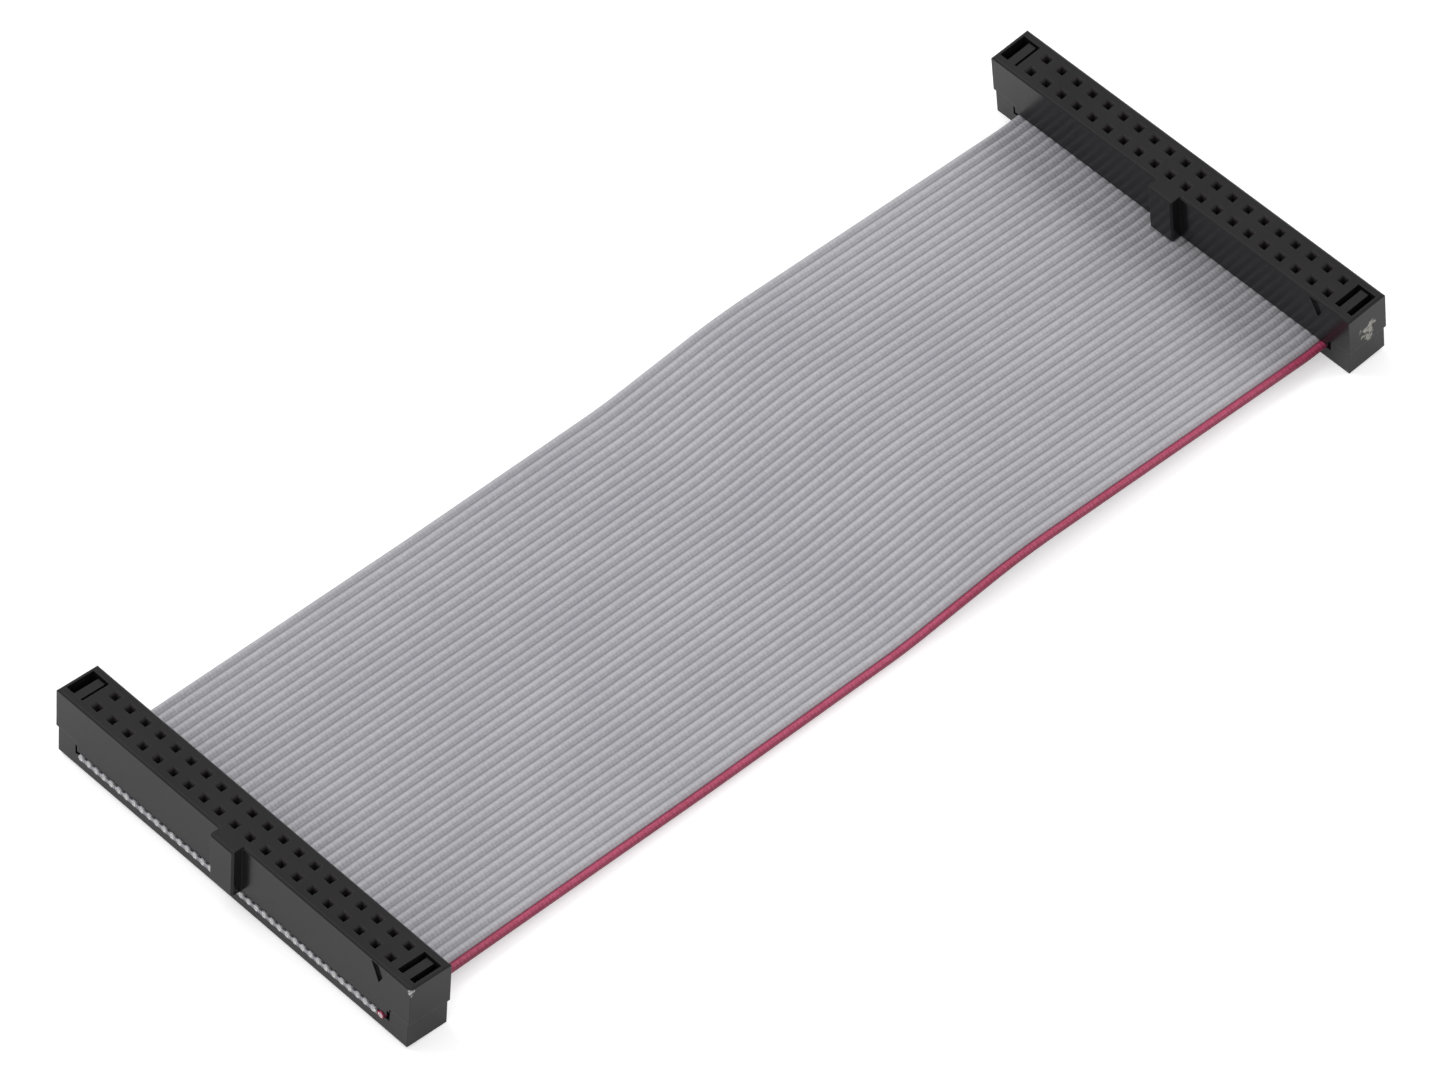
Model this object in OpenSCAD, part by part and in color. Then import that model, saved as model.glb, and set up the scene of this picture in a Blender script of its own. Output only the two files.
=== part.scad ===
// Flat ribbon cable between two socket connectors, each standing on its cover with its mating face up.
// X runs along the sockets towards the red edge, Y along the cable, Z up.

/* [Sockets] */
// Columns of contacts in a socket, two contacts to a column
pairs = 20; // [4:1:32]
// Distance between neighbouring contacts
pitch = 2.54; // [2.4:0.02:2.8]
// Body length beyond the outer contact columns, at each end
end_len = 4.97; // [4.8:0.01:7]
// Width of the body across the cable's end
body_w = 5.9; // [5.7:0.1:8]
// Height of a closed socket
body_h = 9.4; // [9:0.1:13]
// Bevel round the mating face
bevel = 0.22; // [0.05:0.01:0.4]
// Height of the cover's shoulders, where the housing's ends sit down on it
shoulder_z = 3.7; // [3.5:0.05:4.2]
// How far the cover's shoulders lie inside the housing's ends
cover_inset_x = 0.28; // [0.05:0.01:0.5]
// How far the cover lies inside the housing's long faces
cover_inset_y = 0.1; // [0:0.01:0.2]

/* [Polarising key] */
// Width of the key on the front face
key_w = 3.8; // [2.5:0.1:4.5]
// How far the key stands out
key_d = 1.4; // [0.8:0.05:2]

/* [Contact holes] */
// Side of the square hole that takes a pin
pin_hole = 0.95; // [0.8:0.01:1.1]
// Side of the funnel's mouth above it
funnel_mouth = 1.2; // [1.15:0.05:1.8]
// Depth of the funnel
funnel_d = 0.3; // [0.2:0.05:0.6]
// Thickness of the floor between the mating face and a contact's chamber
hole_floor = 1.5; // [1:0.1:2]

/* [Contacts] */
// Thickness of the contact's sheet metal
sheet = 0.3; // [0.2:0.01:0.4]
// Width over the two spring arms
arms_w = 1.86; // [1.7:0.02:2]
// Thickness of a spring arm
arm_t = 0.45; // [0.35:0.01:0.5]
// Gap between the arms where they grip a pin
grip_gap = 0.52; // [0.4:0.02:0.6]
// Width over the two blades that clasp a wire
fork_w = 1.04; // [0.9:0.02:1.1]
// Gap between the blades, narrower than the wire
fork_gap = 0.3; // [0.2:0.01:0.34]
// Height of the blades' tips above the cover's underside
fork_tip_z = 0.4; // [0.2:0.05:0.7]

/* [Latches] */
// Width of a latch leg across the body
leg_w = 3.6; // [2.5:0.1:4]
// Thickness of a latch leg
leg_t = 1.15; // [0.9:0.05:1.3]
// How far the leg's hook reaches out over its ledge
hook = 0.6; // [0.3:0.05:0.8]
// Length of the window round the leg, along the body
window_l = 2.7; // [2.5:0.05:2.9]
// Thickness of the end wall outside the window
end_wall = 0.5; // [0.4:0.05:0.8]
// Height of the ledge under the hook
ledge_z = 6.2; // [5.5:0.1:6.6]

/* [Cable] */
// Thickness over one insulated wire
wire_d = 0.9; // [0.8:0.02:1]
// Thickness of the metal core of a wire
core_d = 0.38; // [0.36:0.01:0.42]
// Thickness of the web between two wires
web_t = 0.24; // [0.15:0.01:0.35]
// Height of the wires' centres above a cover's underside
wire_z = 1.9; // [1.7:0.05:2]
// Distance between the middles of the two sockets
span = 144; // [110:1:400]
// How far the cable's cut ends stand out of the sockets
cut_out = 0.15; // [0.05:0.05:1]

/* [Pose] */
// Lean of the near socket towards the cable, in degrees
near_lean = 4.5; // [2:0.5:7]
// Lean of the far socket towards the cable, in degrees
far_lean = 5.5; // [2:0.5:7]

/* [Hidden] */
wires = 2 * pairs;
wire_pitch = pitch / 2;
body_l = (pairs - 1) * pitch + 2 * end_len;
row_y = pitch / 2;
clear = 0.02;                    // between a contact and its pocket, and a blade and the insulation
press = 0.01;                    // between a core and the bore in its insulation
groove_r = wire_d / 2 + 0.03;    // rounded bed for each wire in the cover
bed_z = wire_z - web_t / 2 - 0.05;
roof_z = wire_z + wire_d / 2 + 0.05;
cable_half = (wires - 1) * wire_pitch / 2 + wire_d / 2;
roof_half = cable_half + 0.33;   // the housing's low underside ends just past the cable
jaw_half = roof_half + 0.4;      // and the cover's shoulders start a slot further out
slot_top = 3.2;                  // roof of that slot
pocket_top = 3.6;                // the contact's shoulder seats here
chamber_top = body_h - hole_floor;
chamber_w = arms_w + 2 * clear;
wire_off = wire_pitch / 2;       // from a contact's middle to the wire it clasps
window_in = body_l / 2 - end_wall - window_l;
leg_in = window_in + 0.55;
leg_out = leg_in + leg_t;
leg_gap = 0.1;                   // round the leg where it passes the ledge
leg_top = body_h - 0.35;
hook_top = ledge_z + 1.5;
cover_half_l = body_l / 2 - cover_inset_x;
cover_half_w = body_w / 2 - cover_inset_y;
key_z = roof_z + 0.15;
mark_x = (pairs - 1) * pitch / 2;

// A socket is turned about the lower inner edge of its cover, which stays on the floor.
// All lies in one plane of Y and Z, so a point is [y, z] and headings are angles up from Y.
function turned(p, a) = [p.x * cos(a) - p.y * sin(a), p.x * sin(a) + p.y * cos(a)];
function near_point(p) = [cover_half_w, 0] + turned(p - [cover_half_w, 0], -near_lean);
function far_point(p) = [span - cover_half_w, 0] + turned(p + [cover_half_w, 0], far_lean);
y_low = near_point([-body_w / 2 - key_d, key_z]).x;
y_high = far_point([body_w / 2 + cut_out, wire_z - wire_d / 2]).x;
y_mid = (y_low + y_high) / 2;

// The cable's course: from the near cut end down to the floor, up one gentle step past the middle,
// and down into the far socket. Inner points are a share of the span along, and a height.
near_end = near_point([-body_w / 2 - cut_out, wire_z]);
near_out = near_point([body_w / 2 + 2.6, wire_z]);
far_out = far_point([-body_w / 2 - 2.4, wire_z]);
far_end = far_point([body_w / 2 + cut_out, wire_z]);
course = [
    near_end, near_out,
    [0.31 * span, 0.95], [0.52 * span, 0.95], [0.645 * span, 2.8],
    far_out, far_end
];
bends = [0, 18, 300, 60, 75, 18, 0];    // radius at each corner
steps = [0, 2, 1, 3, 3, 3, 0];          // the turn at each corner is made in so many equal steps, even in sum
thin = 0.01;
tuck = 0.1;

function heading(i) = atan2(course[i + 1].y - course[i].y, course[i + 1].x - course[i].x);
function turn(i) = heading(i) - heading(i - 1);
function setback(i) = (i <= 0 || i >= len(course) - 1) ? 0 : bends[i] * tan(abs(turn(i)) / 2);
function dir(a) = [cos(a), sin(a)];
function corner(i) = let(
    up = turn(i) > 0 ? 1 : -1, from = heading(i - 1), step = turn(i) / steps[i],
    centre = course[i] - setback(i) * dir(from) + up * bends[i] * dir(from + 90))
    [for (k = [0:steps[i] - 1]) centre - up * bends[i] / cos(step / 2) * dir(from + step * (k + 0.5) + 90)];
route = concat([course[0]], [for (i = [1:len(course) - 2]) each corner(i)], [course[len(course) - 1]]);
last_run = len(route) - 2;

function wire_name(i) = str("core_", i < 10 ? "0" : "", i);
function wire_x(i) = (wires + 1 - 2 * i) * wire_pitch / 2;   // wire 1 is the red one, at +X
function column_x(i) = (pairs + 1 - 2 * i) * pitch / 2;

// Placing
module near_place() {
    translate([0, cover_half_w - y_mid, 0]) rotate([-near_lean, 0, 0]) translate([0, -cover_half_w, 0]) children();
}
module far_place() {
    translate([0, span - cover_half_w - y_mid, 0]) rotate([far_lean, 0, 0])
        translate([0, cover_half_w, 0]) children();
}
module along_x(l) { translate([-l / 2, 0, 0]) rotate([90, 0, 90]) linear_extrude(l) children(); }
module along_y(w) { translate([0, w / 2, 0]) rotate([90, 0, 0]) linear_extrude(w) children(); }
module block(x, y, z) { translate([x[0], y[0], z[0]]) cube([x[1] - x[0], y[1] - y[0], z[1] - z[0]]); }

// Housing
module top_beveled(half, low, top) {
    polygon([[-half, low], [half, low], [half, top - bevel], [half - bevel, top],
             [-half + bevel, top], [-half, top - bevel]]);
}

module housing_side() {
    difference() {
        top_beveled(body_l / 2, roof_z, body_h);
        for (s = [-1, 1]) {
            translate([s * (roof_half + body_l / 2) / 2, (slot_top + roof_z) / 2])
                square([body_l / 2 - roof_half, slot_top - roof_z], center = true);
            translate([s * (jaw_half + body_l / 2) / 2, (shoulder_z + roof_z) / 2])
                square([body_l / 2 - jaw_half, shoulder_z - roof_z], center = true);
        }
    }
}

module key() {
    front = -body_w / 2 - key_d;
    intersection() {
        translate([0, 0, key_z]) linear_extrude(body_h - key_z)
            polygon([[-key_w / 2, -body_w / 2 + 0.5], [key_w / 2, -body_w / 2 + 0.5], [key_w / 2, front + bevel],
                     [key_w / 2 - bevel, front], [-key_w / 2 + bevel, front], [-key_w / 2, front + bevel]]);
        along_x(key_w) top_beveled(-front, key_z, body_h);
    }
}

module funnel_side(half) {
    polygon([[-pin_hole / 2, chamber_top - 1], [pin_hole / 2, chamber_top - 1], [pin_hole / 2, body_h - funnel_d],
             [half, body_h], [half, body_h + 1], [-half, body_h + 1], [-half, body_h],
             [-pin_hole / 2, body_h - funnel_d]]);
}

module pin_way() {
    intersection() {
        along_x(2 * funnel_mouth) funnel_side(funnel_mouth / 2);
        along_y(2 * funnel_mouth) funnel_side(funnel_mouth / 2);
    }
}

module chamber(side) {
    // side is -1 in the front row and 1 in the rear row: a front contact clasps the wire on its +X side
    low = side < 0 ? -chamber_w / 2 : -wire_off - fork_w / 2 - clear;
    high = side < 0 ? wire_off + fork_w / 2 + clear : chamber_w / 2;
    block([-chamber_w / 2, chamber_w / 2], [-pin_hole / 2, pin_hole / 2], [roof_z - 1, chamber_top]);
    block([low, high], [-pin_hole / 2, pin_hole / 2], [roof_z - 1, pocket_top]);
}

module latch_window() {
    block([window_in, window_in + window_l], [-leg_w / 2 - 0.15, leg_w / 2 + 0.15], [ledge_z, body_h + 1]);
    block([leg_in - leg_gap, leg_out + leg_gap], [-leg_w / 2 - 0.15, leg_w / 2 + 0.15], [shoulder_z - 1, ledge_z + 1]);
}

module pin_one_mark() {
    translate([mark_x, -body_w / 2 + 0.3, body_h]) rotate([90, 0, 0]) linear_extrude(1)
        polygon([[-1.3, -bevel - 0.1], [1.3, -bevel - 0.1], [0, -2.9]]);
}

module housing() {
    difference() {
        union() {
            intersection() {
                along_y(body_w) housing_side();
                along_x(body_l) top_beveled(body_w / 2, roof_z, body_h);
            }
            key();
        }
        for (i = [1:pairs], side = [-1, 1]) translate([column_x(i), side * row_y, 0]) { pin_way(); chamber(side); }
        for (s = [0, 1]) mirror([s, 0, 0]) latch_window();
        pin_one_mark();
    }
}

// Cover, with a rounded bed under each wire, a slot for each pair of blades, and a hooked leg at each end
module cover_side() {
    difference() {
        polygon([[-cover_half_l, 0], [cover_half_l, 0], [cover_half_l, shoulder_z], [jaw_half, shoulder_z],
                 [jaw_half, bed_z], [-jaw_half, bed_z], [-jaw_half, shoulder_z], [-cover_half_l, shoulder_z]]);
        for (i = [1:wires]) translate([wire_x(i), wire_z]) circle(groove_r, $fn = 32);
    }
}

module leg_side() {
    polygon([[leg_in, shoulder_z - 1], [leg_out, shoulder_z - 1], [leg_out, ledge_z], [leg_out + hook, ledge_z],
             [leg_out + hook, ledge_z + 0.3], [leg_out, hook_top], [leg_out, leg_top], [leg_in, leg_top]]);
}

module cover() {
    difference() {
        along_y(2 * cover_half_w) cover_side();
        for (i = [1:wires]) translate([wire_x(i), wire_row(i) * row_y, 0])
            block([-fork_w / 2 - 0.1, fork_w / 2 + 0.1], [-sheet / 2 - 0.1, sheet / 2 + 0.1], [-1, wire_z]);
    }
    for (s = [0, 1]) mirror([s, 0, 0]) along_y(leg_w) leg_side();
}

function wire_row(i) = i % 2 == 1 ? -1 : 1;

// Contact, one stamping: two arms that grip a pin, a shoulder that seats in the housing, and two blades
// that pierce the insulation and clasp the core of a wire
module contact_outline() {
    a = arms_w / 2;
    g = grip_gap / 2;
    top = chamber_top - 0.3;
    f = fork_w / 2;
    h = fork_gap / 2;
    difference() {
        union() {
            polygon([[-a, roof_z + 0.1], [a, roof_z + 0.1], [a, pocket_top + 0.7], [a, top - 0.8], [a - 0.2, top],
                     [-a + 0.2, top], [-a, top - 0.8]]);
            translate([wire_off, 0])
                polygon([[-f, pocket_top], [-f, fork_tip_z + 0.5], [-h, fork_tip_z], [h, fork_tip_z],
                         [f, fork_tip_z + 0.5], [f, pocket_top]]);
        }
        polygon([[0, pocket_top + 0.2], [a - arm_t, pocket_top + 0.6], [a - arm_t, top - 1.9], [g, top - 1.1],
                 [g, top - 0.8], [g + 0.2, top + 1], [-g - 0.2, top + 1], [-g, top - 0.8], [-g, top - 1.1],
                 [-a + arm_t, top - 1.9], [-a + arm_t, pocket_top + 0.6]]);
        translate([wire_off, 0]) {
            translate([-h, -1]) square([2 * h, wire_z + 1.3]);
            translate([0, wire_z + 0.3]) circle(h, $fn = 24);
            polygon([[-h - 0.15, fork_tip_z - 0.01], [h + 0.15, fork_tip_z - 0.01], [0, fork_tip_z + 0.6]]);
        }
    }
}

module contact(side) { along_y(sheet) mirror([side < 0 ? 0 : 1, 0]) contact_outline(); }

module contact_row(side) {
    color([0.78, 0.66, 0.42]) for (i = [1:pairs]) translate([column_x(i), side * row_y, 0]) contact(side);
}

// Cable
// Its section is drawn with x as height above the wires' plane and y along the sockets
module section(first, last, thin) {
    web = web_t - 2 * thin;
    from = last < wires ? wire_x(last) - wire_pitch / 2 : wire_x(last);
    to = first > 1 ? wire_x(first) + wire_pitch / 2 : wire_x(first);
    difference() {
        union() {
            for (i = [first:last]) translate([0, wire_x(i)]) circle(wire_d / 2 - thin, $fn = 32);
            translate([-web / 2, from]) square([web, to - from]);
        }
        for (i = [first:last]) translate([0, wire_x(i)]) circle(core_d / 2 + press + thin, $fn = 24);
    }
}

module core_section(i, thin) { translate([0, wire_x(i)]) circle(core_d / 2 - thin, $fn = 24); }

// One straight run of the route, lengthened at both ends by extra
module run(j, extra) {
    way = route[j + 1] - route[j];
    translate([0, route[j].x - y_mid, route[j].y]) rotate([atan2(way.y, way.x), 0, 0])
        translate([0, -extra, 0]) rotate([0, -90, -90]) linear_extrude(norm(way) + 2 * extra) children();
}

// Every second run has the second child's section, a hair thinner, and is tucked into its two neighbours.
// The first and last runs lie in the sockets, where the blades pierce them.
module swept(first, last) {
    for (j = [0:last_run]) difference() {
        run(j, j % 2 * tuck) children(j % 2);
        if (j == 0) near_place() blade_slits(first, last);
        if (j == last_run) far_place() blade_slits(first, last);
    }
}

module blade_slits(first, last) {
    for (i = [first:last], s = [-1, 1])
        translate([wire_x(i), wire_row(i) * row_y, wire_z])
            block(s < 0 ? [-fork_w / 2 - clear, -fork_gap / 2 + press] : [fork_gap / 2 - press, fork_w / 2 + clear],
                  [-sheet / 2 - clear, sheet / 2 + clear], [-1, 1]);
}

module insulation(first, last) { swept(first, last) { section(first, last, 0); section(first, last, thin); } }

module core(i) { color([0.78, 0.78, 0.76]) swept(i, i) { core_section(i, 0); core_section(i, thin); } }

module near_housing() { color([0.1, 0.1, 0.11]) near_place() housing(); }
module near_cover() { color([0.13, 0.13, 0.14]) near_place() cover(); }
module near_contacts_front() { near_place() contact_row(-1); }
module near_contacts_rear() { near_place() contact_row(1); }
module far_housing() { color([0.1, 0.1, 0.11]) far_place() housing(); }
module far_cover() { color([0.13, 0.13, 0.14]) far_place() cover(); }
module far_contacts_front() { far_place() contact_row(-1); }
module far_contacts_rear() { far_place() contact_row(1); }
module insulation_grey() { color([0.66, 0.66, 0.69]) insulation(2, wires); }
module insulation_red() { color([0.62, 0.12, 0.2]) insulation(1, 1); }

near_housing();
near_cover();
near_contacts_front();
near_contacts_rear();
far_housing();
far_cover();
far_contacts_front();
far_contacts_rear();
insulation_grey();
insulation_red();
for (i = [1:wires]) core(i);
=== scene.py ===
import bpy
import math
import numpy as np
from mathutils import Euler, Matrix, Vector


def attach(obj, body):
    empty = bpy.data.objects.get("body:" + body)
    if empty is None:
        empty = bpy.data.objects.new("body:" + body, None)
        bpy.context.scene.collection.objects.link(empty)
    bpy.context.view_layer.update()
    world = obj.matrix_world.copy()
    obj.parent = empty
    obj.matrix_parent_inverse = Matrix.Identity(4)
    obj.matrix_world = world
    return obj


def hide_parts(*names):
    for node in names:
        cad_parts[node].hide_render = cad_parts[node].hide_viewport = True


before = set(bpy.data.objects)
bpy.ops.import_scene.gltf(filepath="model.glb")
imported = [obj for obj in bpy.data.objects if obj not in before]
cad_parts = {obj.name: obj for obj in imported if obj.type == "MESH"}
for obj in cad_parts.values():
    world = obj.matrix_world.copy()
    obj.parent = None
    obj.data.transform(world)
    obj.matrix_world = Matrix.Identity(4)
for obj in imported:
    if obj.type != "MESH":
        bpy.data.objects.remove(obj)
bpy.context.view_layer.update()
print("stage: frame loaded,", len(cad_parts), "nodes")

# Camera, at the viewing angle of the photograph, in the row's own frame
camera = {
    "place": (0.514599, -0.476168, 0.788256),  # metres
    "turn": (41.7063, 0.2675, 47.0116),        # degrees, XYZ
    "lens": 235.02,                            # a long lens, mm on a 36 mm wide frame
}


def addCamera(s):
    data = bpy.data.cameras.new("camera")
    data.lens, data.sensor_width, data.sensor_fit = s["lens"], 36.0, "HORIZONTAL"
    data.clip_start, data.clip_end = 0.05, 20.0
    eye = bpy.data.objects.new("camera", data)
    eye.location = s["place"]
    eye.rotation_euler = Euler([math.radians(a) for a in s["turn"]], "XYZ")
    bpy.context.scene.collection.objects.link(eye)
    bpy.context.scene.camera = eye
    return eye


addCamera(camera)
bpy.context.scene.view_settings.view_transform = "Standard"
print("stage: camera set")


# Small helpers for node trees
def newMaterial(name):
    m = bpy.data.materials.new(name)
    m.use_nodes = True
    tree = m.node_tree
    tree.nodes.clear()
    out = tree.nodes.new("ShaderNodeOutputMaterial")
    shader = tree.nodes.new("ShaderNodeBsdfPrincipled")
    tree.links.new(shader.outputs[0], out.inputs["Surface"])
    return m, tree, shader


def node(tree, kind, inputs=None, **settings):
    n = tree.nodes.new(kind)
    for k, v in settings.items():
        setattr(n, k, v)
    for k, v in (inputs or {}).items():
        if hasattr(v, "links"):
            tree.links.new(v, n.inputs[k])
        else:
            n.inputs[k].default_value = v
    return n


def math2(tree, op, a, b=0.0):
    return node(tree, "ShaderNodeMath", {0: a, 1: b}, operation=op).outputs[0]


def mixColour(tree, factor, a, b, blend="MIX"):
    n = node(tree, "ShaderNodeMix", {0: factor, 6: a, 7: b}, data_type="RGBA", blend_type=blend)
    return n.outputs[2]


def remap(tree, value, low, high, toLow, toHigh, smooth=False):
    kind = "SMOOTHSTEP" if smooth else "LINEAR"
    n = node(tree, "ShaderNodeMapRange", {0: value, 1: low, 2: high, 3: toLow, 4: toHigh}, interpolation_type=kind)
    return n.outputs[0]


def rgba(c):
    return (c[0], c[1], c[2], 1.0)


# Plastic of the sockets: very dark, satin, with the fine grain of a spark-eroded mould
plastic = {
    "colour": (0.008, 0.008, 0.0088),
    "roughness": 0.2,
    # colour of the pin ways' walls, lighter than the plastic: painted light
    "hole": (0.05, 0.046, 0.046),
    "grain": 5200.0,        # noise scale, per metre
    "flow": 140.0,
    "edge": 0.00009,        # how far the moulded edges are rounded, m
}

# Marks that the photograph shows on the plastic: centre, reach in m, colour
marks = {
    # the near housing's mark is a chip at its front top corner, painted pale: a painted highlight on the chip. The
    # far housing's two marks are pale rough patches on its end face
    "near_housing": [((0.0290, -0.0736, 0.00925), 0.00055, (0.55, 0.55, 0.55))],
    "far_housing": [((0.0291, 0.0719, 0.0058), 0.0013, (0.36, 0.35, 0.3)),
                    ((0.0291, 0.0724, 0.0046), 0.0008, (0.3, 0.29, 0.26))],
}


# The pin ways of each socket: the line its body is turned about (Y), the lean in degrees, and how far the
# body's middle lies from that line. half is the reach of the ways in X and Y, top is just under the mating face
pinWays = {
    "near_housing": {"pivot": -0.0714029 + 0.00285, "lean": 4.5, "middle": -0.00285},
    "far_housing": {"pivot": 0.144 - 0.00285 - 0.0714029, "lean": -5.5, "middle": 0.00285},
    "half": (0.02485, 0.002), "top": 0.00938,
}


def plasticMaterial(name, s, shade=1.0, spots=(), ways=None):
    m, tree, shader = newMaterial(name)
    place = node(tree, "ShaderNodeTexCoord").outputs["Object"]
    grain = node(tree, "ShaderNodeTexNoise", {"Vector": place, "Scale": s["grain"], "Detail": 3.0, "Roughness": 0.6})
    flow = node(tree, "ShaderNodeTexNoise", {"Vector": place, "Scale": s["flow"], "Detail": 4.0, "Roughness": 0.55})
    dust = node(tree, "ShaderNodeTexNoise", {"Vector": place, "Scale": 900.0, "Detail": 5.0, "Roughness": 0.7})
    markEdgeNoise = node(tree, "ShaderNodeTexNoise", {"Vector": place, "Scale": 1500.0, "Detail": 5.0, "Roughness": 0.65})
    base = tuple(c * shade for c in s["colour"])
    light = tuple(min(1.0, c * 1.6 + 0.001) for c in base)
    colour = mixColour(tree, remap(tree, flow.outputs[0], 0.35, 0.75, 0.0, 0.6), rgba(base), rgba(light))
    colour = mixColour(tree, remap(tree, dust.outputs[0], 0.62, 0.8, 0.0, 0.22), colour, rgba((0.03, 0.03, 0.031)))
    if ways:
        # painted light: the walls of the pin ways are painted lighter than the satin outside, standing in for the
        # light and the contacts' glints seen down the ways
        c, sn = math.cos(math.radians(ways["lean"])), math.sin(math.radians(ways["lean"]))
        moved = node(tree, "ShaderNodeVectorMath", {0: place, 1: (0.0, ways["pivot"], 0.0)}, operation="SUBTRACT")
        dots = [node(tree, "ShaderNodeVectorMath", {0: moved.outputs[0], 1: v}, operation="DOT_PRODUCT").outputs["Value"]
                for v in ((1.0, 0.0, 0.0), (0.0, c, -sn), (0.0, sn, c))]
        fromMiddle = math2(tree, "ABSOLUTE", math2(tree, "SUBTRACT", dots[1], ways["middle"]))
        inX = math2(tree, "LESS_THAN", math2(tree, "ABSOLUTE", dots[0]), pinWays["half"][0])
        inY = math2(tree, "LESS_THAN", fromMiddle, pinWays["half"][1])
        inZ = math2(tree, "LESS_THAN", dots[2], pinWays["top"])
        inside = math2(tree, "MULTIPLY", math2(tree, "MULTIPLY", inX, inY), inZ)
        colour = mixColour(tree, inside, colour, rgba(s["hole"]))
    rough = remap(tree, flow.outputs[0], 0.3, 0.7, s["roughness"] - 0.03, s["roughness"] + 0.05)
    # each mark is a ragged spot of its colour; on the near housing it is a painted highlight on a chip
    for centre, reach, tint in spots:
        away = node(tree, "ShaderNodeVectorMath", {0: place, 1: centre}, operation="DISTANCE").outputs["Value"]
        ragged = math2(tree, "ADD", away, remap(tree, markEdgeNoise.outputs[0], 0.3, 0.7, -0.9 * reach, 0.9 * reach))
        here = remap(tree, ragged, 0.3 * reach, 0.9 * reach, 0.85, 0.0, smooth=True)
        colour = mixColour(tree, here, colour, rgba(tint))
    tree.links.new(colour, shader.inputs["Base Color"])
    tree.links.new(rough, shader.inputs["Roughness"])
    shader.inputs["IOR"].default_value = 1.31
    rounded = node(tree, "ShaderNodeBevel", {"Radius": s["edge"]}, samples=6)
    bump = node(tree, "ShaderNodeBump", {"Strength": 0.12, "Distance": 0.00002, "Height": grain.outputs[0],
                                         "Normal": rounded.outputs[0]})
    wave = node(tree, "ShaderNodeBump", {"Strength": 0.1, "Distance": 0.0001, "Height": flow.outputs[0],
                                         "Normal": bump.outputs[0]})
    tree.links.new(wave.outputs[0], shader.inputs["Normal"])
    return m


# Contacts: phosphor bronze under a thin gold plate, with the rolling lines of the strip. Cores: tinned copper.
# Each has a colour, a roughness, and its lines' scale in X, Y and Z, per metre
metal = {
    "gold": ((0.72, 0.5, 0.2), 0.3, (2500.0, 2500.0, 9000.0)),
    "tin": ((0.62, 0.61, 0.58), 0.38, (9000.0, 900.0, 9000.0)),
}


def metalMaterial(name, colour, roughness, lines):
    m, tree, shader = newMaterial(name)
    place = node(tree, "ShaderNodeTexCoord").outputs["Object"]
    drawn = node(tree, "ShaderNodeMapping", {"Vector": place, "Scale": lines})
    noise = node(tree, "ShaderNodeTexNoise", {"Vector": drawn.outputs[0], "Scale": 1.0, "Detail": 4.0})
    dull = tuple(c * 0.62 for c in colour)
    tree.links.new(mixColour(tree, remap(tree, noise.outputs[0], 0.35, 0.7, 0.0, 1.0), rgba(dull), rgba(colour)),
                   shader.inputs["Base Color"])
    tree.links.new(remap(tree, noise.outputs[0], 0.3, 0.7, roughness - 0.08, roughness + 0.12),
                   shader.inputs["Roughness"])
    shader.inputs["Metallic"].default_value = 1.0
    bump = node(tree, "ShaderNodeBump", {"Strength": 0.25, "Distance": 0.00001, "Height": noise.outputs[0]})
    tree.links.new(bump.outputs[0], shader.inputs["Normal"])
    return m


# Cable, in millimetres. The course is the same as the solids': socket, floor, one step up, socket.
cable = {
    "span": 144.0, "middle": 71.402948, "nearLean": 4.5, "farLean": 5.5, "pivot": 2.85, "halfBody": 2.95,
    "wireZ": 1.9, "cutOut": 0.15, "points": [(0.31, 0.95), (0.52, 0.95), (0.645, 2.8)],
    "bends": [18, 300, 60, 75, 18], "wires": 40, "pitch": 1.27, "radius": 0.45,
    "web": 0.12,                   # half its thickness
    "cutWeb": 0.3, "burr": 0.12,   # the same where the shears pressed it, and how far in they did
    "bore": 0.2, "sink": 0.15,     # radius, and how deep the cut ends' bores are made
    "greyRings": 196, "redRings": 420, "topPoints": 7, "bottomPoints": 4, "arcPoints": 25,
}


def coursePath(s):
    # straights joined by arcs: a bend of radius r that turns by t starts r*tan(t/2) before its corner,
    # and its points are centre + r*(sin, -cos) of the heading
    def turned(y, z, a):
        return np.array([y * math.cos(a) - z * math.sin(a), y * math.sin(a) + z * math.cos(a)])
    a, b, p = -math.radians(s["nearLean"]), math.radians(s["farLean"]), s["pivot"]
    near = lambda y: turned(y - p, s["wireZ"], a) + (p, 0.0)
    far = lambda y: turned(y + p, s["wireZ"], b) + (s["span"] - p, 0.0)
    h, out = s["halfBody"], s["cutOut"]
    corners = np.array([near(-h - out), near(h + 2.6)] + [(f * s["span"], z) for f, z in s["points"]]
                       + [far(-h - 2.4), far(h + out)])
    heading = np.arctan2(np.diff(corners[:, 1]), np.diff(corners[:, 0]))
    pieces = [corners[:1]]
    for i, r in enumerate(s["bends"], 1):
        turn, up = heading[i] - heading[i - 1], np.sign(heading[i] - heading[i - 1])
        c, sn = math.cos(heading[i - 1]), math.sin(heading[i - 1])
        start = corners[i] - r * math.tan(abs(turn) / 2) * np.array([c, sn])
        centre = start + up * r * np.array([-sn, c])
        angle = heading[i - 1] + turn * np.linspace(0, 1, s["arcPoints"])
        pieces.append(centre + up * r * np.stack([np.sin(angle), -np.cos(angle)], 1))
    path = np.concatenate(pieces + [corners[-1:]])
    return path - (s["middle"], 0.0)


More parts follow.
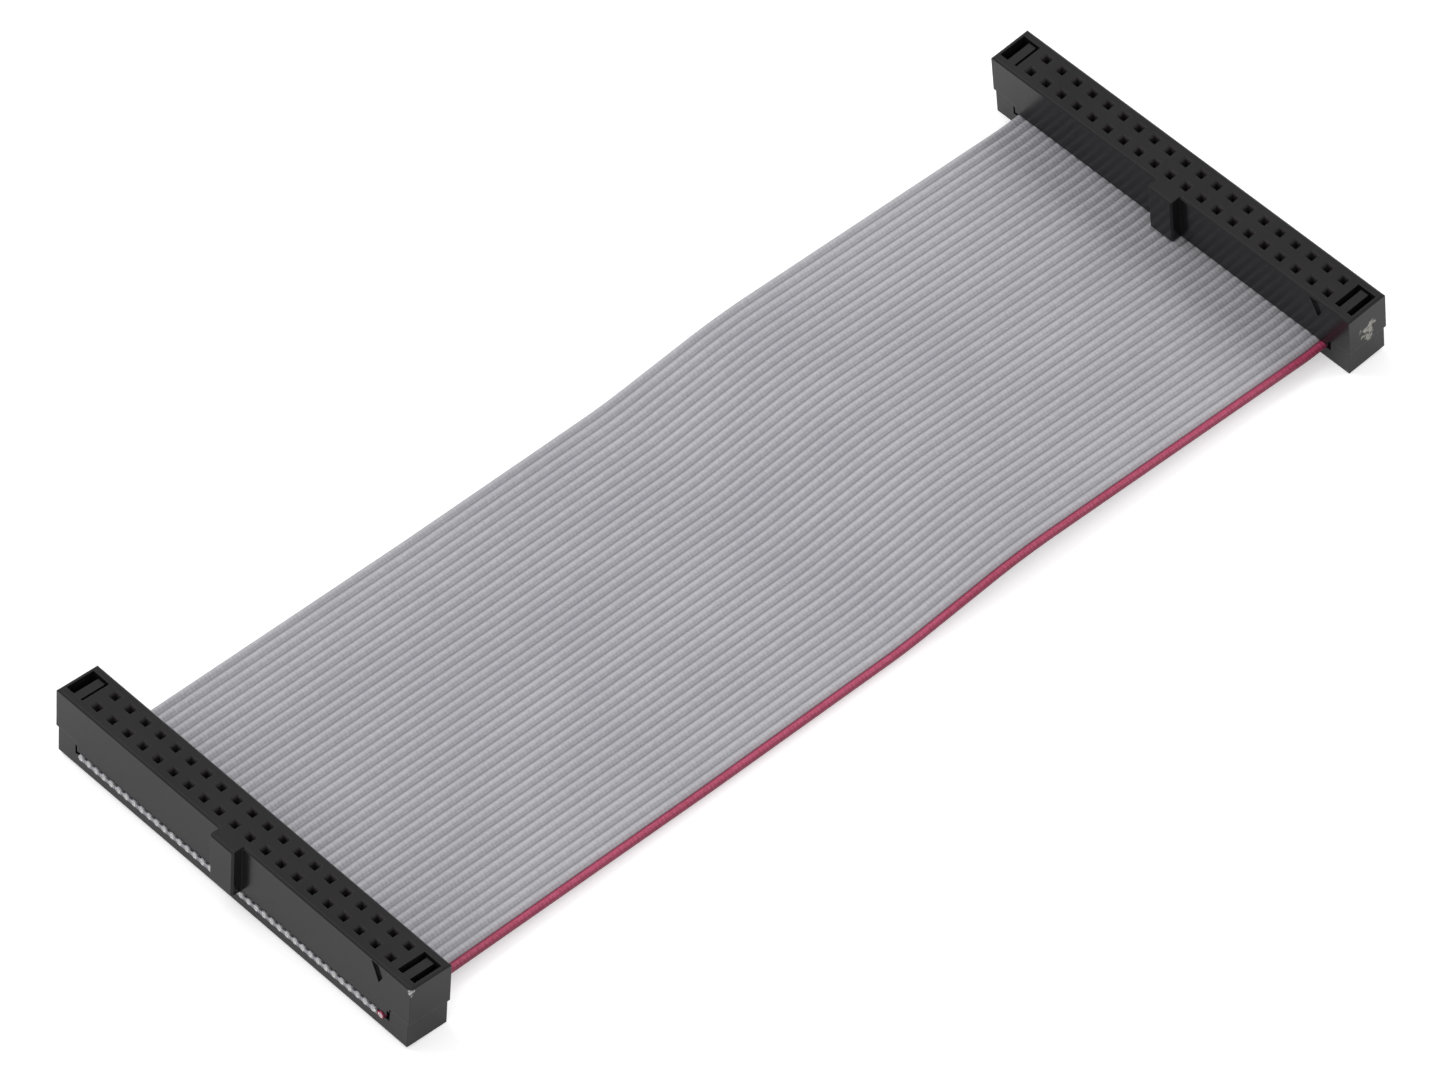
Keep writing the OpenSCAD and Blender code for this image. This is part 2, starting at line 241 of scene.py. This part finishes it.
def ringsAlong(path, rings, near):
    # rings at even steps of the length, and one more close to each cut end: (length, y, z, heading)
    gone = np.concatenate([[0.0], np.cumsum(np.hypot(*np.diff(path, axis=0).T))])
    at = np.linspace(0, gone[-1], rings - 2)
    at = np.concatenate([at[:1], [near], at[1:-1], [gone[-1] - near], at[-1:]])
    y, z = np.interp(at, gone, path[:, 0]), np.interp(at, gone, path[:, 1])
    middle = (gone[1:] + gone[:-1]) / 2
    angle = np.interp(at, middle, np.arctan2(np.diff(path[:, 1]), np.diff(path[:, 0])))
    return at, y, z, angle


def ribbonSection(s, xs, openLow, openHigh, web):
    # closed outline of wires side by side, each a circle of the wire's radius cut by the web's two faces:
    # x = middle + r*cos(a), h = r*sin(a), over the top from low x to high x and back under the bottom.
    # web is the web's half thickness at each ring, so x and h are arrays of ring and outline
    r, n, rings = s["radius"], len(xs), len(web)
    lift = np.arcsin(web / r)[:, None]
    top = np.pi - lift - (np.pi - 2 * lift) * np.linspace(0, 1, s["topPoints"])
    low = -lift - (np.pi - 2 * lift) * np.linspace(0, 1, s["bottomPoints"])
    side = lift * np.linspace(1, -1, 5)[1:-1]
    half = s["pitch"] / 2

    def wires(angle, order):
        x = order[None, :, None] + r * np.cos(angle)[:, None, :]
        h = np.broadcast_to(r * np.sin(angle)[:, None, :], x.shape)
        return x.reshape(rings, -1), h.reshape(rings, -1)

    def edge(x, sign, isOpen):
        if isOpen:
            return x + sign * r * np.cos(side), sign * r * np.sin(side)
        flat = np.stack([web, -web], 1) * sign
        return np.full_like(flat, x + sign * half), flat

    parts = [wires(top, xs), edge(xs[-1], 1, openHigh), wires(low, xs[::-1]), edge(xs[0], -1, openLow)]
    return np.concatenate([q[0] for q in parts], 1), np.concatenate([q[1] for q in parts], 1)


def capFaces(count, nTop, nLow, nHigh, nLowEnd, start, inner):
    # the cut end of the cable: a ring from each wire's outline to its bore, the bore's wall down to a floor that
    # lies inside the core, and a four-sided web between two wires
    total = count * (nTop + nLow) + nHigh + nLowEnd
    lowStart = count * nTop + nHigh
    faces = []
    for i in range(count):
        over = [start + i * nTop + k for k in range(nTop)]
        under = [start + lowStart + (count - 1 - i) * nLow + k for k in range(nLow)]
        right = [start + count * nTop + k for k in range(nHigh)] if i == count - 1 else []
        left = [start + total - nLowEnd + k for k in range(nLowEnd)] if i == 0 else []
        loop = over + right + under + left
        ring = [inner[i] + k for k in range(len(loop))]
        n = len(loop)
        deep = [v + n for v in ring]
        faces += [(loop[k], loop[(k + 1) % n], ring[(k + 1) % n], ring[k]) for k in range(n)]
        faces += [(ring[k], ring[(k + 1) % n], deep[(k + 1) % n], deep[k]) for k in range(n)]
        faces.append(tuple(deep[::-1]))
        if i < count - 1:
            nextOver = start + (i + 1) * nTop
            nextUnder = start + lowStart + (count - 2 - i) * nLow + nLow - 1
            faces.append((over[-1], nextOver, nextUnder, under[0]))
    return faces


def ribbonMesh(name, s, xs, openLow, openHigh, rings):
    # a surface of two parameters: p(u, v) = course(u) + h(u, v)*normal(u) + x(u, v)*X, with the cut ends closed.
    # The shears press the vinyl together, so the web is thicker at the very ends
    at, y, z, angle = ringsAlong(coursePath(s), rings, s["burr"])
    web = np.full(rings, s["web"])
    web[[0, -1]] = s["cutWeb"]
    x, h = ribbonSection(s, xs, openLow, openHigh, web)
    n, nTop, nLow = x.shape[1], s["topPoints"], s["bottomPoints"]
    grid = np.empty((rings, n, 3))
    grid[..., 0] = x
    grid[..., 1] = y[:, None] - np.sin(angle)[:, None] * h
    grid[..., 2] = z[:, None] + np.cos(angle)[:, None] * h
    row, col = np.meshgrid(np.arange(rings - 1), np.arange(n), indexing="ij")
    after = (col + 1) % n
    quads = np.stack([row * n + col, row * n + after, (row + 1) * n + after, (row + 1) * n + col], -1).reshape(-1, 4)
    points = [grid.reshape(-1, 3)]
    faces = quads.tolist()
    count, used = len(xs), rings * n
    nHigh, nLowEnd = (3 if openHigh else 2), (3 if openLow else 2)
    lowStart = count * nTop + nHigh
    for end, ring in ((0, 0), (1, rings - 1)):
        inner = []
        for i in range(count):
            loop = np.concatenate([np.arange(i * nTop, (i + 1) * nTop),
                                   np.arange(count * nTop, lowStart) if i == count - 1 else [],
                                   lowStart + (count - 1 - i) * nLow + np.arange(nLow),
                                   np.arange(n - nLowEnd, n) if i == 0 else []]).astype(int)
            away = np.arctan2(h[ring, loop], x[ring, loop] - xs[i])
            bx, bh = xs[i] + s["bore"] * np.cos(away), s["bore"] * np.sin(away)
            a0 = angle[ring]
            for sink in (0.0, -s["sink"] if end else s["sink"]):
                y0, z0 = y[ring] + sink * math.cos(a0), z[ring] + sink * math.sin(a0)
                points.append(np.stack([bx, y0 - math.sin(a0) * bh, z0 + math.cos(a0) * bh], 1))
            inner.append(used)
            used += 2 * len(loop)
        cap = capFaces(count, nTop, nLow, nHigh, nLowEnd, ring * n, inner)
        faces += cap if end else [f[::-1] for f in cap]
    mesh = bpy.data.meshes.new(name)
    mesh.from_pydata((np.concatenate(points) / 1000.0).tolist(), [], [f[::-1] for f in faces])
    along = np.concatenate([np.repeat(at, n), np.full(used - rings * n, -1.0)])
    across = np.concatenate([x.ravel(), np.full(used - rings * n, 0.0)])
    corner = np.empty(len(mesh.loops), np.int32)
    mesh.loops.foreach_get("vertex_index", corner)
    uv = mesh.uv_layers.new(name="lie")
    lie = np.stack([along[corner], across[corner]], 1) / 1000.0
    uv.data.foreach_set("uv", lie.ravel().astype(np.float32))
    mesh.shade_smooth()
    mesh.update()
    piece = bpy.data.objects.new(name, mesh)
    bpy.context.scene.collection.objects.link(piece)
    return piece


# Insulation: soft vinyl, with the faint crosswise beading that the stranded cores leave along each wire
vinyl = {
    "grey": (0.4, 0.395, 0.425), "greyLight": (0.47, 0.465, 0.49),
    # the groove colours are painted shade for the grooves between wires and for the outer flanks
    "greyPaintedShade": (0.13, 0.13, 0.15), "greyCut": (0.8, 0.8, 0.82),
    "red": (0.31, 0.022, 0.067), "redLight": (0.44, 0.052, 0.128),
    "redPaintedShade": (0.13, 0.012, 0.034), "redCut": (0.8, 0.66, 0.69),
    "roughness": 0.42, "lay": 0.00052, "pitch": 0.00127,
    # where the painted shade of the grooves and of the outer flanks lies
    "groove": (0.34, 0.45, 0.6),         # share of the pitch where it starts and is full, and how strong it is
    "flank": (0.02488, 0.02518, 0.6),    # the same for the outer flanks, in metres from the middle
}


def vinylMaterial(name, s, hue):
    m, tree, shader = newMaterial(name)
    place = node(tree, "ShaderNodeTexCoord")
    uv = node(tree, "ShaderNodeUVMap", uv_map="lie").outputs[0]
    split = node(tree, "ShaderNodeSeparateXYZ", {0: uv})
    along, across = split.outputs[0], split.outputs[1]
    inPitches = math2(tree, "DIVIDE", across, s["pitch"])
    wire = math2(tree, "FLOOR", inPitches)
    shift = node(tree, "ShaderNodeTexWhiteNoise", {"W": wire}, noise_dimensions="1D").outputs["Value"]
    phase = math2(tree, "ADD", math2(tree, "MULTIPLY", along, 2 * math.pi / s["lay"]),
                  math2(tree, "MULTIPLY", shift, 6.28))
    bead = math2(tree, "SINE", phase)
    patch = node(tree, "ShaderNodeTexNoise", {"Vector": place.outputs["Object"], "Scale": 60.0, "Detail": 3.0})
    fine = node(tree, "ShaderNodeTexNoise", {"Vector": place.outputs["Object"], "Scale": 3000.0, "Detail": 3.0})
    speck = node(tree, "ShaderNodeTexNoise", {"Vector": place.outputs["Object"], "Scale": 1900.0, "Detail": 2.0})
    mottled = remap(tree, patch.outputs[0], 0.35, 0.65, 0.0, 0.5)
    for part in (math2(tree, "MULTIPLY", shift, 0.2), math2(tree, "MULTIPLY", bead, 0.2),
                 remap(tree, speck.outputs[0], 0.42, 0.68, -0.15, 0.6)):
        mottled = math2(tree, "ADD", mottled, part)
    colour = mixColour(tree, mottled, rgba(s[hue]), rgba(s[hue + "Light"]))
    # painted shade: the flanks and the web between two wires are painted darker, where they lie in each other's
    # shade
    aside = math2(tree, "ABSOLUTE", math2(tree, "SUBTRACT", math2(tree, "FRACT", inPitches), 0.5))
    # and the same painted shade on the cable's two outer flanks
    outward = math2(tree, "ABSOLUTE", across)
    for distance, (start, full, strength) in ((aside, s["groove"]), (outward, s["flank"])):
        shaded = remap(tree, distance, start, full, 0.0, strength, smooth=True)
        colour = mixColour(tree, shaded, colour, rgba(s[hue + "PaintedShade"]))
    # the cut ends are painted pale, about twice as light as the vinyl: painted light on the cut faces
    cut = math2(tree, "LESS_THAN", along, -0.0005)   # the cut ends carry a length of -1 mm
    colour = mixColour(tree, cut, colour, rgba(s[hue + "Cut"]))
    tree.links.new(colour, shader.inputs["Base Color"])
    tree.links.new(remap(tree, fine.outputs[0], 0.3, 0.7, s["roughness"] - 0.06, s["roughness"] + 0.1),
                   shader.inputs["Roughness"])
    beads = node(tree, "ShaderNodeBump", {"Strength": 0.5, "Distance": 0.00002, "Height": bead})
    skin = node(tree, "ShaderNodeBump", {"Strength": 0.2, "Distance": 0.00001, "Height": fine.outputs[0],
                                         "Normal": beads.outputs[0]})
    tree.links.new(skin.outputs[0], shader.inputs["Normal"])
    return m


wireX = (np.arange(cable["wires"]) - (cable["wires"] - 1) / 2) * cable["pitch"]
greyRibbon = ribbonMesh("grey_insulation", cable, wireX[:-1], True, False, cable["greyRings"])
redRibbon = ribbonMesh("red_insulation", cable, wireX[-1:], False, True, cable["redRings"])
greyRibbon.data.materials.append(vinylMaterial("grey vinyl", vinyl, "grey"))
redRibbon.data.materials.append(vinylMaterial("red vinyl", vinyl, "red"))
for piece, solid, slot in ((greyRibbon, "insulation_grey", "grey_insulation"),
                           (redRibbon, "insulation_red", "red_insulation")):
    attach(piece, "root")
    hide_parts(solid)
print("stage: cable made,", len(greyRibbon.data.polygons), "and", len(redRibbon.data.polygons), "faces")


def dress(name, material):
    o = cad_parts[name]
    o.data.materials.clear()
    o.data.materials.append(material)


coverMaterial = plasticMaterial("cover plastic", plastic, 1.15)
goldMaterial = metalMaterial("gold plated bronze", *metal["gold"])
tinMaterial = metalMaterial("tinned copper", *metal["tin"])
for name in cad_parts:
    if name.endswith("_housing"):
        dress(name, plasticMaterial(name.replace("_", " ") + " plastic", plastic, 1.0, marks[name], pinWays[name]))
    elif name.endswith("_cover"):
        dress(name, coverMaterial)
    elif "contacts" in name:
        dress(name, goldMaterial)
    elif name.startswith("core_"):
        dress(name, tinMaterial)
print("stage: plastic and metal dressed")

# Floor, background and light
studio = {
    "floor": 6.0, "under": 0.00002, "floorColour": (0.86, 0.86, 0.865),
    "lift": 0.45, "mirrorLift": 0.3,   # glow of the floor towards the camera and in reflections
    "sky": 0.55,
    "lamps": {                         # place, side of the square in m, power in W
        "key": ((-1.0, -0.25, 1.15), 1.3, 11.0),
        "back": ((0.35, 1.2, 0.95), 1.0, 6.0),
        "fill": ((0.45, -1.35, 0.6), 1.0, 3.5),
    },
}


def addFloor(s):
    half, z = s["floor"] / 2, -s["under"]
    mesh = bpy.data.meshes.new("floor")
    mesh.from_pydata([(-half, -half, z), (half, -half, z), (half, half, z), (-half, half, z)], [], [(0, 1, 2, 3)])
    floor = bpy.data.objects.new("floor", mesh)
    bpy.context.scene.collection.objects.link(floor)
    m, tree, shader = newMaterial("pale floor")
    shader.inputs["Base Color"].default_value = rgba(s["floorColour"])
    shader.inputs["Roughness"].default_value = 0.9
    shader.inputs["Specular IOR Level"].default_value = 0.0
    path = node(tree, "ShaderNodeLightPath")
    shader.inputs["Emission Color"].default_value = (1, 1, 1, 1)
    glow = math2(tree, "ADD", math2(tree, "MULTIPLY", path.outputs["Is Camera Ray"], s["lift"]),
                 math2(tree, "MULTIPLY", path.outputs["Is Glossy Ray"], s["mirrorLift"]))
    tree.links.new(glow, shader.inputs["Emission Strength"])
    mesh.materials.append(m)


def addWorld(s):
    world = bpy.data.worlds.new("studio")
    world.use_nodes = True
    tree = world.node_tree
    tree.nodes.clear()
    out = tree.nodes.new("ShaderNodeOutputWorld")
    path = node(tree, "ShaderNodeLightPath")
    mirrored = math2(tree, "MAXIMUM", path.outputs["Is Camera Ray"], path.outputs["Is Glossy Ray"])
    grey = node(tree, "ShaderNodeBackground", {"Color": (1, 1, 1, 1), "Strength": s["sky"]})
    white = node(tree, "ShaderNodeBackground", {"Color": (1, 1, 1, 1), "Strength": 1.0})
    both = node(tree, "ShaderNodeMixShader", {0: mirrored, 1: grey.outputs[0], 2: white.outputs[0]})
    tree.links.new(both.outputs[0], out.inputs["Surface"])
    bpy.context.scene.world = world


def addLamp(name, place, size, power, target=(0, 0, 0)):
    data = bpy.data.lights.new(name, "AREA")
    data.shape, data.size, data.energy = "SQUARE", size, power
    lamp = bpy.data.objects.new(name, data)
    lamp.location = place
    lamp.rotation_euler = (Vector(target) - Vector(place)).to_track_quat("-Z", "Y").to_euler()
    bpy.context.scene.collection.objects.link(lamp)


addFloor(studio)
addWorld(studio)
for name, (place, size, power) in studio["lamps"].items():
    addLamp(name, place, size, power)
print("stage: floor and light set")
